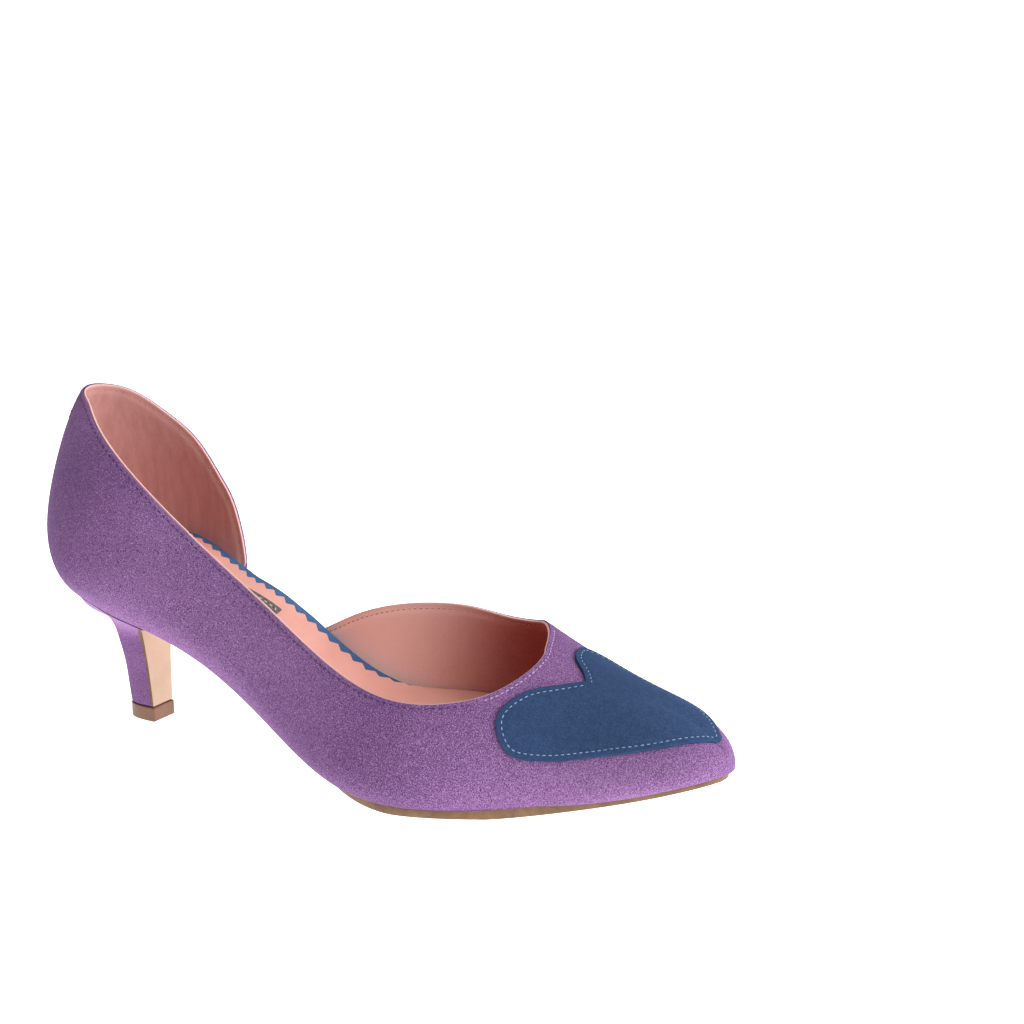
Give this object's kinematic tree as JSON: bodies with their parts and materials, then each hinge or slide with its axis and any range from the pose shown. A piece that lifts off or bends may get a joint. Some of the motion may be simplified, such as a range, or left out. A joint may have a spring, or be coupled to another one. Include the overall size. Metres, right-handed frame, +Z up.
{
  "type": "half d'orsay court shoe",
  "caption": "Right foot half d'Orsay court shoe in suede with a pointed toe, slim kitten heel, heart patch on the vamp and an open inner arch.",
  "frame": {"origin": "middle of the shoe's box, on the floor", "axes": "+X to the toe, +Y to the inner side of the right foot, +Z up"},
  "size_m": [0.2452, 0.0848, 0.1043],
  "materials": {
    "purple_suede": "matt suede nap",
    "blue_suede": "matt suede nap",
    "sole_leather": "smooth, brown at the edge",
    "lift": "satin",
    "sock_leather": "smooth lining leather",
    "label_cloth": "bare woven"
  },
  "bodies": {
    "root": {"upper": "purple_suede", "heart_overlay": "blue_suede", "back_tab": "purple_suede", "outsole": "sole_leather", "heel": "purple_suede", "top_lift": "lift", "insole": "blue_suede", "sock": "sock_leather", "label": "label_cloth"}
  },
  "joints": []
}
